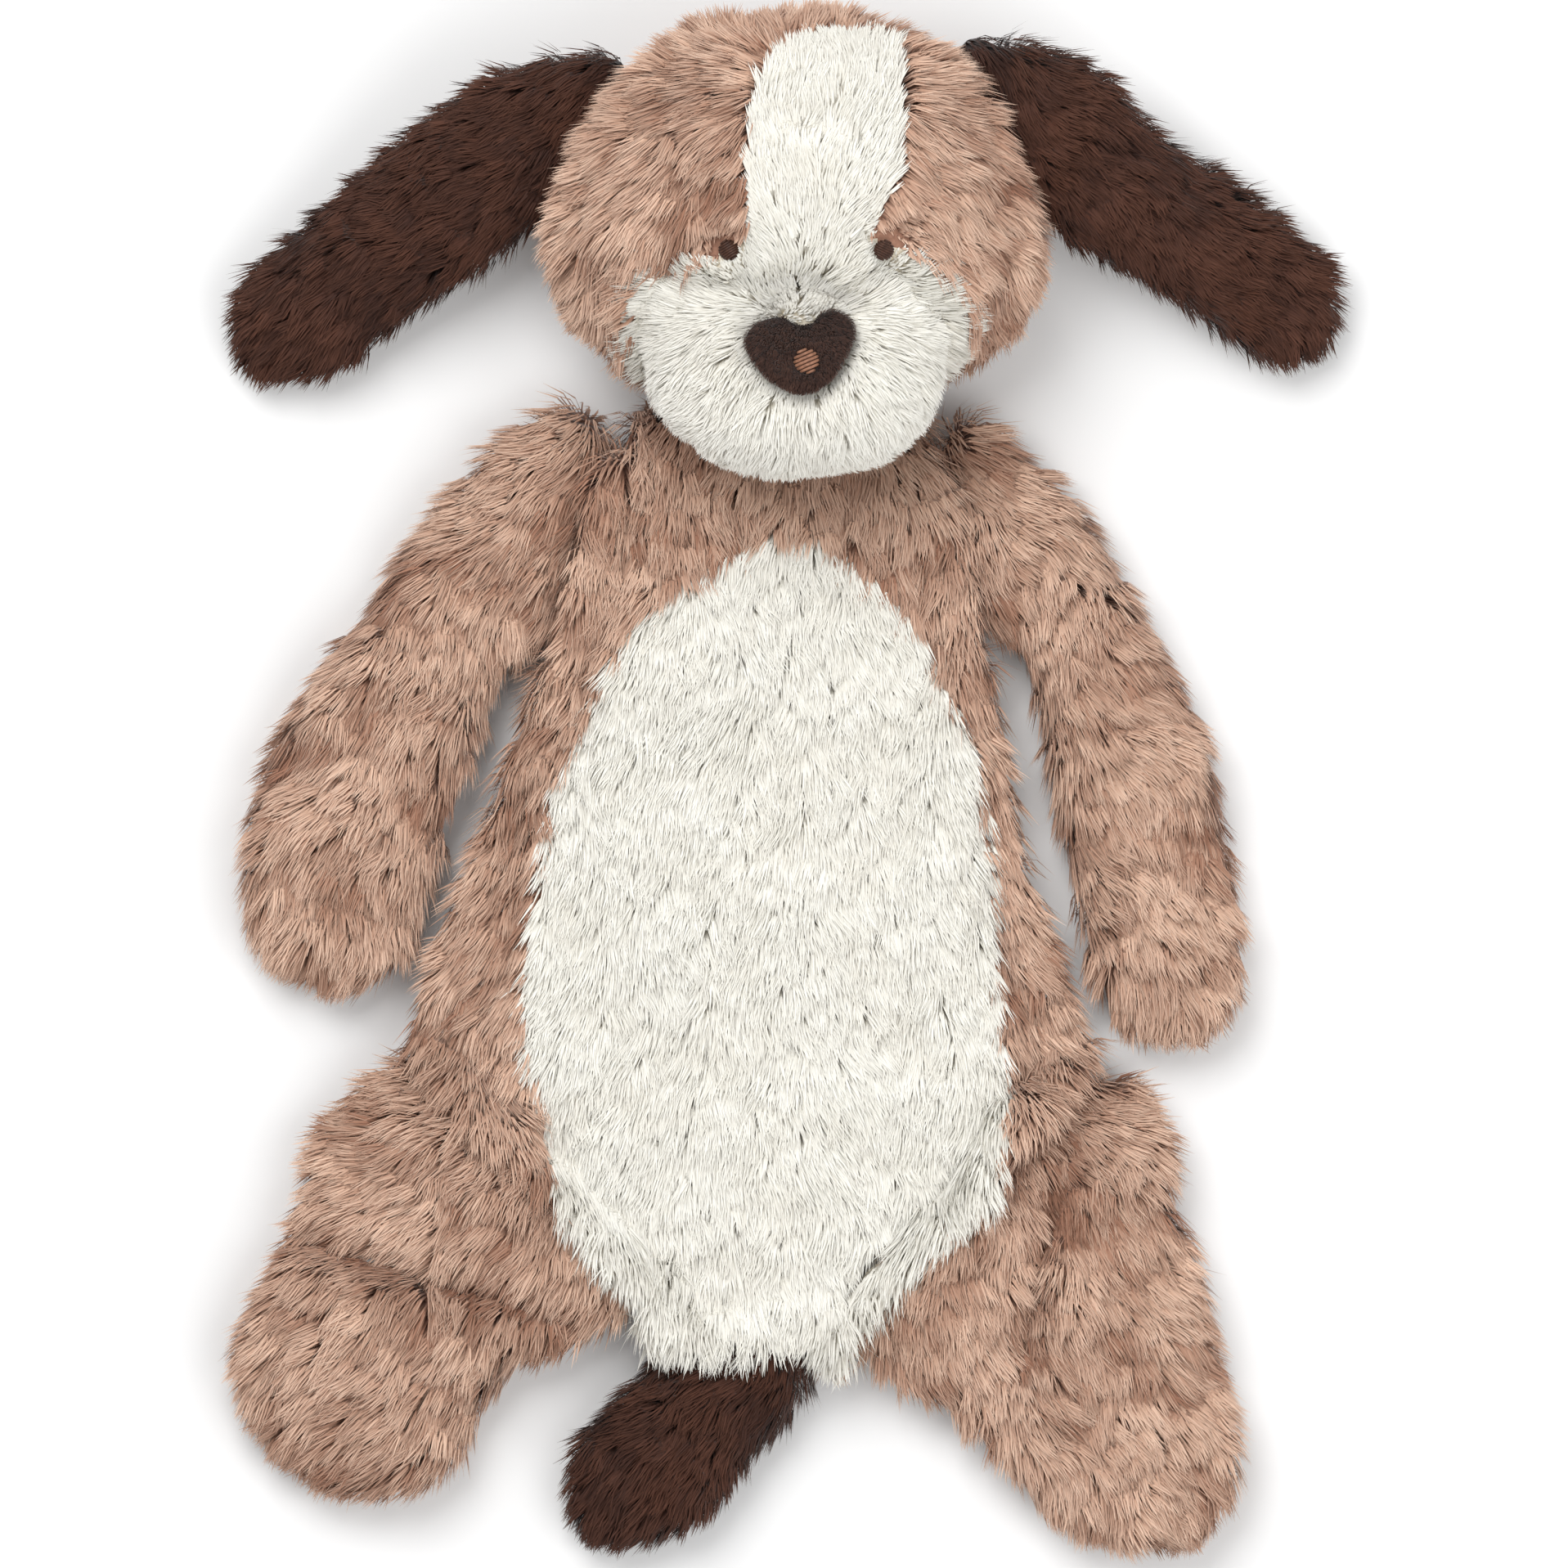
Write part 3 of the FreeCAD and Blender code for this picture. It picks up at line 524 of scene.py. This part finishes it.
def pile(shell, faces, node, body, recipe_inputs, hairs_per_mm2):
    """The pile of one panel, as one or more pieces that stand for its CAD node."""
    area = sum(shell.data.polygons[int(k)].area for k in faces) * 1e6
    count = max(1, math.ceil(area * hairs_per_mm2 / MOST_HAIRS))
    faces = sorted(faces, key=lambda k: -shell.data.polygons[int(k)].center.y)
    for number, share in enumerate(np.array_split(np.array(faces), count), start=1):
        name = node + "_pile" + ("_" + str(number) if count > 1 else "")
        piece = part_of(shell, share, name)
        grown = piece.modifiers.new("Pile", "NODES")
        grown.node_group = pile_recipe
        seed = len(name) + number * 17 + int(area) % 97
        values = dict(recipe_inputs, Hairs=hairs_per_mm2 * 1e6, Seed=seed)
        for item in pile_recipe.interface.items_tree:
            if item.in_out == "INPUT" and item.name in values:
                grown[item.identifier] = values[item.name]
        seen = piece.evaluated_get(bpy.context.evaluated_depsgraph_get())
        mesh = bpy.data.meshes.new_from_object(seen)
        piece.modifiers.remove(grown)
        piece.data = mesh
        # The recipe's own values have done their work.
        for attribute in [a.name for a in mesh.attributes if a.name.startswith("hair_")]:
            mesh.attributes.remove(mesh.attributes[attribute])
        mesh.name = name
        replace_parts(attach(piece, body), node)


def dress(body, nodes, filling, seed, grounds, piles, folds=(), bare=None, depth=PILE_DEPTH):
    """Makes one body part: the backing, its filling and the pile of each panel.
    grounds and piles give each panel's backing material, and its slot, which is not used, its pile sizes
    and hairs per mm2."""
    shell = cover(body + "_backing", body, nodes + [filling], seed, depth, folds)
    if bare is not None:
        shares = bare(points_of(shell.data), normals_of(shell.data))
        shell.data.attributes["bare"].data.foreach_set("value", shares)
    chosen = panel_of_faces(shell, nodes)
    shell.data.materials.clear()
    for ground in dict.fromkeys(grounds):
        shell.data.materials.append(ground)
    order = list(dict.fromkeys(grounds))
    shell.data.polygons.foreach_set("material_index", [order.index(grounds[k]) for k in chosen])
    for k, node in enumerate(nodes):
        slot, sizes, amount = piles[k]
        pile(shell, np.flatnonzero(chosen == k), node, body, sizes, amount)
    wadding(body + "_wadding", body, filling, seed)
    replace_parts(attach(shell, body), *nodes)


# The first colour of each plush is painted shade at its hairs' roots, deep in the pile.
tan_plush = plush("Tan plush", (112, 74, 60), (152, 108, 86), (218, 182, 158), (234, 208, 188))
white_plush = plush("White plush", (228, 219, 199), (228, 223, 211), (240, 239, 232), (246, 245, 240))
tan_ground = backing("Tan backing", (128, 90, 74), (172, 130, 108))
white_ground = backing("White backing", (220, 208, 184), (240, 233, 218))
fibre_fill = backing("Polyester filling", (215, 215, 212), (240, 240, 238))

BODY_PILE = {"Length": 0.0108, "Width": 0.00066, "Lie": 0.52, "Swirl": 1.0, "Locks": 250.0, "Draw": 0.35,
             "Waves": 50.0, "Tousle": 1.15}
tan_down = dict(BODY_PILE, Plush=tan_plush)
white_down = dict(BODY_PILE, Plush=white_plush, Swirl=0.7, Width=0.00082, Tousle=0.35, Draw=0.25)
FRONT_HAIRS = 3.2        # tan hairs per mm2 where the pile is seen
UNDER_HAIRS = 1.1        # and on the side that lies on the floor
BELLY_HAIRS = 3.3
from_neck = (0.0, 0.30, 0.02)
tan_front = ("plush_tan", dict(tan_down, **{"Brushed from": from_neck}), FRONT_HAIRS)
tan_back = ("plush_tan", dict(tan_down, **{"Brushed from": from_neck}), UNDER_HAIRS)
white_front = ("plush_white", dict(white_down, **{"Brushed from": from_neck}), BELLY_HAIRS)
dress("torso", ["belly", "front_left", "front_right", "back_left", "back_right"], "torso_filling", 1,
      [white_ground, tan_ground, tan_ground, tan_ground, tan_ground],
      [white_front, tan_front, tan_front, tan_back, tan_back])

# ---- arms and legs -------------------------------------------------------------------------------
# Flat tan limbs of two panels each, sewn into the body's side seams, so that they fold there. The pile is
# brushed towards the paws, and the legs lie in the folds that their thin filling allows.

# The legs' folds dent their covers, and the pile along them is painted darker, as painted shade in the
# crease.
for limb, brushed_from, seed, folds in (
    ("arm_left", (-0.030, 0.110, 0.012), 2, ()),
    ("arm_right", (0.025, 0.110, 0.012), 3, ()),
    ("leg_left", (-0.030, -0.060, 0.012), 4, ((-0.140, -0.112, -0.050, -0.138, 0.006),)),
    ("leg_right", (0.035, -0.050, 0.012), 5, ((0.074, -0.085, 0.058, -0.160, 0.005),)),
):
    sizes = dict(tan_down, **{"Brushed from": brushed_from})
    dress(limb, [limb + "_front", limb + "_back"], limb + "_filling", seed, [tan_ground, tan_ground],
          [("plush_tan", sizes, FRONT_HAIRS), ("plush_tan", sizes, UNDER_HAIRS)],
          folds=folds)

# ---- tail ----------------------------------------------------------------------------------------
# Two panels of a shorter, very dark brown plush, lightly filled. It is sewn in at the bottom of the
# centre-back seam, so that it lies out between the legs.

# Its first colour is painted shade at the hairs' roots, deep in the pile.
brown_plush = plush("Brown plush", (28, 13, 8), (46, 22, 13), (80, 46, 32), (98, 62, 46))
brown_ground = backing("Brown backing", (28, 15, 11), (50, 28, 20))
EAR_PILE_DEPTH = 0.0036
EAR_PILE = {"Length": 0.0092, "Width": 0.0006, "Lie": 0.60, "Swirl": 0.9, "Locks": 280.0, "Draw": 0.35,
            "Waves": 70.0, "Tousle": 1.0, "Plush": brown_plush}
BROWN_HAIRS = 3.8        # per mm2, and fewer underneath
BROWN_UNDER_HAIRS = 1.8
sizes = dict(EAR_PILE, **{"Brushed from": (0.020, -0.110, 0.010)})
dress("tail", ["tail_front", "tail_back"], "tail_filling", 6, [brown_ground, brown_ground],
      [("plush_brown", sizes, BROWN_HAIRS), ("plush_brown", sizes, BROWN_UNDER_HAIRS)],
      depth=EAR_PILE_DEPTH)

# ---- head ----------------------------------------------------------------------------------------
# A fuller part: one white panel for the blaze and the muzzle, two tan cheeks and a tan back. The pile is
# brushed out from the nose on the white and out from the crown on the tan, and clipped at eyes and nose.

# Round each eye and the nose: x, y, the bare radius, and the width over which the pile grows back.
CLIPPED = ((-0.0146, 0.1362, 0.0036, 0.011),
           (0.0264, 0.1375, 0.0036, 0.011),
           (0.0041, 0.1105, 0.0070, 0.007))


def clipped(points, normals):
    """1 where no pile grows, falling off where it is clipped short round the eyes and the nose."""
    share = np.zeros(len(points), np.float32)
    for x, y, radius, fade in CLIPPED:
        away = np.hypot(points[:, 0] - x, points[:, 1] - y)
        share = np.maximum(share, np.clip(1 - (away - radius) / fade, 0, 1) * (normals[:, 2] > 0))
    return share.astype(np.float32)


from_nose = dict(white_down, Length=0.0078, Lie=0.5, Swirl=0.35,
                 **{"Brushed from": (0.004, 0.118, 0.060)})
from_crown = dict(tan_down, **{"Brushed from": (0.003, 0.175, 0.060)})
over_crown = dict(tan_down, **{"Brushed from": (0.003, 0.210, 0.060)})
FACE_HAIRS = 3.8         # per mm2
CHEEK_HAIRS = 3.4
NAPE_HAIRS = 1.4
dress("head", ["face", "cheek_left", "cheek_right", "head_back"], "head_filling", 7,
      [white_ground, tan_ground, tan_ground, tan_ground],
      [("plush_white", from_nose, FACE_HAIRS), ("plush_tan", from_crown, CHEEK_HAIRS),
       ("plush_tan", from_crown, CHEEK_HAIRS), ("plush_tan", over_crown, NAPE_HAIRS)],
      bare=clipped)

# ---- ears ----------------------------------------------------------------------------------------
# Two long soft ears of the dark plush, each of two panels with a little filling. They are sewn into the
# head's side seams and hang outwards on the floor.

for ear, brushed_from, seed in (
    ("ear_left", (-0.030, 0.195, 0.040), 8),
    ("ear_right", (0.040, 0.200, 0.040), 9),
):
    sizes = dict(EAR_PILE, **{"Brushed from": brushed_from})
    dress(ear, [ear + "_front", ear + "_back"], ear + "_filling", seed, [brown_ground, brown_ground],
          [("plush_brown", sizes, BROWN_HAIRS), ("plush_brown", sizes, BROWN_UNDER_HAIRS)],
          depth=EAR_PILE_DEPTH)

# ---- sewing thread -------------------------------------------------------------------------------
# Doubled polyester thread draws the neck in round the head's opening. Ladder stitches of the same thread
# close the back where the toy was turned and filled.

thread, recipe, shader = material("Sewing thread", 0.55, 0.1)
place = recipe.add("ShaderNodeTexCoord").also("Object")
twist = recipe.add("ShaderNodeTexWave", {"bands_direction": "DIAGONAL"},
                   {"Vector": place, "Scale": 1200.0, "Distortion": 0.5})
tint = recipe.mix(twist, colour(150, 112, 92), colour(200, 165, 145))
thread.node_tree.links.new(tint.end, shader.inputs["Base Color"])
bump = recipe.add("ShaderNodeBump", {}, {"Strength": 0.6, "Distance": 0.0002, "Height": twist})
thread.node_tree.links.new(bump.end, shader.inputs["Normal"])
for node in ("neck_thread", "closing_stitches"):
    frame["nodes"][node].data.materials.clear()
    frame["nodes"][node].data.materials.append(thread)

# ---- eyes ----------------------------------------------------------------------------------------
# Two small round eyes in dark brown satin stitch: threads laid side by side over a low pad of stitches,
# straight into the face's plush.


def satin_tree():
    """Threads side by side over a dome, as curves swept with a round section."""
    tree = bpy.data.node_groups.new("Satin stitches", "GeometryNodeTree")
    for name in ("Radius", "Height", "Thread"):
        tree.interface.new_socket(name, in_out="INPUT", socket_type="NodeSocketFloat")
    tree.interface.new_socket("Threads", in_out="INPUT", socket_type="NodeSocketInt")
    tree.interface.new_socket("Floss", in_out="INPUT", socket_type="NodeSocketMaterial")
    tree.interface.new_socket("Stitches", in_out="OUTPUT", socket_type="NodeSocketGeometry")
    recipe = Recipe(tree)
    given = recipe.add("NodeGroupInput")
    radius = given.also("Radius")
    row = recipe.add("GeometryNodeMeshLine", {"mode": "END_POINTS"}, {
        "Count": given.also("Threads"), "Start Location": (-0.94, 0.0, 0.0), "Offset": (0.94, 0.0, 0.0)})
    one = recipe.add("GeometryNodeCurvePrimitiveLine", {},
                     {"Start": (0.0, -1.0, 0.0), "End": (0.0, 1.0, 0.0)})
    one = recipe.add("GeometryNodeResampleCurve", {}, {"Curve": one, "Count": 13})
    laid = recipe.add("GeometryNodeInstanceOnPoints", {}, {"Points": row, "Instance": one})
    laid = recipe.add("GeometryNodeRealizeInstances", {}, {0: laid})
    spot = recipe.add("ShaderNodeSeparateXYZ", {}, {0: recipe.add("GeometryNodeInputPosition")})
    half = (1.0 - spot * spot) ** 0.5
    y = spot.also("Y") * half
    z = (1.0 - spot * spot - y * y).between(0.0, 1.0) ** 0.5
    dome = recipe.add("ShaderNodeCombineXYZ", {}, {"X": spot * radius, "Y": y * radius,
                                                   "Z": z * given.also("Height")})
    laid = recipe.add("GeometryNodeSetPosition", {}, {"Geometry": laid, "Position": dome})
    round_section = recipe.add("GeometryNodeCurvePrimitiveCircle", {},
                               {"Resolution": 6, "Radius": given.also("Thread")})
    mesh = recipe.add("GeometryNodeCurveToMesh", {}, {"Curve": laid, "Profile Curve": round_section,
                                                      "Fill Caps": True})
    mesh = recipe.add("GeometryNodeSetMaterial", {}, {"Geometry": mesh, "Material": given.also("Floss")})
    recipe.add("NodeGroupOutput", {}, {"Stitches": mesh})
    return tree


satin_recipe = satin_tree()


def embroidery(name, node, raised, sizes):
    """A dome of satin stitches that stands for a CAD node, in its place and leaning as it does."""
    body = frame["nodes"][node].parent.name.removeprefix("body:")
    piece = bpy.data.objects.new(name, bpy.data.meshes.new(name))
    bpy.context.scene.collection.objects.link(piece)
    sewn = piece.modifiers.new("Stitches", "NODES")
    sewn.node_group = satin_recipe
    for item in satin_recipe.interface.items_tree:
        if item.in_out == "INPUT" and item.name in sizes:
            sewn[item.identifier] = sizes[item.name]
    mesh = bpy.data.meshes.new_from_object(piece.evaluated_get(bpy.context.evaluated_depsgraph_get()))
    piece.modifiers.remove(sewn)
    piece.data = mesh
    under = frame["nodes"][node].data
    low = [p for p in under.polygons if p.normal.z < -0.5]
    axis = -sum((p.normal * p.area for p in low), Vector()).normalized()
    lowest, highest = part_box(node)
    middle = (lowest + highest) / 2 + axis * raised
    mesh.transform(axis.to_track_quat("Z", "Y").to_matrix().to_4x4())
    mesh.transform(Matrix.Translation(middle))
    mesh.shade_smooth()
    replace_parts(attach(piece, body), node)


def floss(name, dark, light):
    """Shiny embroidery thread, with a fine twist."""
    made, recipe, shader = material(name, 0.42, 0.15, 0.3)
    place = recipe.add("ShaderNodeTexCoord").also("Object")
    twist = recipe.add("ShaderNodeTexNoise", {}, {"Vector": place, "Scale": 1100.0, "Detail": 3.0})
    tint = recipe.mix(twist, colour(*dark), colour(*light))
    made.node_tree.links.new(tint.end, shader.inputs["Base Color"])
    bump = recipe.add("ShaderNodeBump", {}, {"Strength": 0.4, "Distance": 0.0001, "Height": twist})
    made.node_tree.links.new(bump.end, shader.inputs["Normal"])
    return made


EYE_RAISED = 0.0028      # the stitches' feet lie this far over the CAD node's middle
eye_floss = floss("Eye floss", (24, 12, 8), (92, 60, 46))
for node in ("eye_left", "eye_right"):
    embroidery(node + "_stitches", node, EYE_RAISED,
               {"Radius": 0.0025, "Height": 0.0018, "Thread": 0.00032, "Threads": 9, "Floss": eye_floss})

# ---- nose ----------------------------------------------------------------------------------------
# A soft velour nose, rounded off at its sewn edge and covered with a very short nap. A stitched knot
# pulls its middle in; its lighter colour is a painted highlight on the velour.

GRAIN = 0.0007           # size of the nose's faces while its edge is rounded
ROUNDING = 0.0026
SUNK = 0.0016            # the nose lies this far down in the muzzle's pile
KNOT_SUNK = 0.0008       # and the knot this far below its CAD node's middle
NAP = {"Length": 0.0013, "Width": 0.00022, "Lie": 0.7, "Swirl": 0.3, "Locks": 900.0, "Draw": 0.3,
       "Waves": 300.0, "Tousle": 1.0, "Brushed from": (0.004, 0.13, 0.08)}
NAP_HAIRS = 16.0         # per mm2

# Its first colour is painted shade at the nap's roots.
velour = plush("Nose velour", (38, 22, 17), (50, 30, 24), (78, 52, 42), (92, 64, 52))
velour_ground = backing("Nose backing", (36, 21, 16), (58, 36, 28))
nose = bpy.data.objects.new("nose_velour", frame["nodes"]["nose"].data.copy())
bpy.context.scene.collection.objects.link(nose)
for swell in (ROUNDING, -ROUNDING):
    settled(nose, "REMESH", {"mode": "VOXEL", "voxel_size": GRAIN, "use_smooth_shade": True})
    largest_part(nose.data)
    settled(nose, "SMOOTH", {"factor": 0.5, "iterations": 3})
    place_points(nose.data, points_of(nose.data) + normals_of(nose.data) * swell)
settled(nose, "SMOOTH", {"factor": 0.5, "iterations": 4})
nose.data.transform(Matrix.Translation((0.0, 0.0, -SUNK)))
nose.data.materials.clear()
nose.data.materials.append(velour_ground)
nose.data.shade_smooth()
top = [p.index for p in nose.data.polygons if p.normal.z > 0.1]
pile(nose, top, "nose", "head", dict(NAP, Plush=velour), NAP_HAIRS)
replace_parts(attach(nose, "head"), "nose")
# Painted highlight: the knot's light floss colour stands for the light on the middle of the nose.
knot_floss_painted_highlight = floss("Knot floss", (70, 38, 27), (186, 136, 108))
embroidery("knot_stitches", "nose_knot", -KNOT_SUNK,
           {"Radius": 0.0030, "Height": 0.0016, "Thread": 0.00042, "Threads": 7, "Floss": knot_floss_painted_highlight})

# ---- floor, light and camera ---------------------------------------------------------------------
# A plain pale floor under soft studio light: a large lamp past the head on the left, a weaker one past
# the legs on the right, and a white surround. The camera looks straight down.

SIGHT = 6.0              # the camera's height over the floor
SEEN = 0.4035            # width that the camera takes in, at SEEN_AT over the floor
SEEN_AT = 0.02
MIDDLE = (0.0002, -0.0007)
FILM = 36.0              # the camera's sensor, in mm
FLOOR = 15.0             # half the floor's width

floor = bpy.data.objects.new("floor", bpy.data.meshes.new("floor"))
bpy.context.scene.collection.objects.link(floor)
corners = [(-FLOOR, -FLOOR, 0), (FLOOR, -FLOOR, 0), (FLOOR, FLOOR, 0), (-FLOOR, FLOOR, 0)]
floor.data.from_pydata(corners, [], [(0, 1, 2, 3)])
pale, recipe, shader = material("Pale floor", 0.9)
shader.inputs["Base Color"].default_value = (0.86, 0.86, 0.86, 1.0)
floor.data.materials.append(pale)

for name, at, width, watts in (
    ("key", (-0.5, 0.9, 1.7), 1.2, 26.0),
    ("fill", (0.9, -0.6, 1.5), 1.4, 14.0),
):
    lamp = bpy.data.lights.new(name, "AREA")
    lamp.size = width
    lamp.energy = watts
    holder = bpy.data.objects.new(name, lamp)
    bpy.context.scene.collection.objects.link(holder)
    holder.location = at
    holder.rotation_euler = (-Vector(at)).to_track_quat("-Z", "Y").to_euler()
world = bpy.data.worlds.new("Studio")
world.use_nodes = True
world.node_tree.nodes["Background"].inputs["Color"].default_value = (1.0, 1.0, 1.0, 1.0)
world.node_tree.nodes["Background"].inputs["Strength"].default_value = 0.55
bpy.context.scene.world = world
bpy.context.scene.view_settings.view_transform = "Standard"

camera = bpy.data.objects.new("camera", bpy.data.cameras.new("camera"))
bpy.context.scene.collection.objects.link(camera)
camera.location = MIDDLE + (SIGHT,)
camera.data.sensor_width = FILM
camera.data.lens = FILM * (SIGHT - SEEN_AT) / SEEN
camera.data.clip_end = 40.0
bpy.context.scene.camera = camera
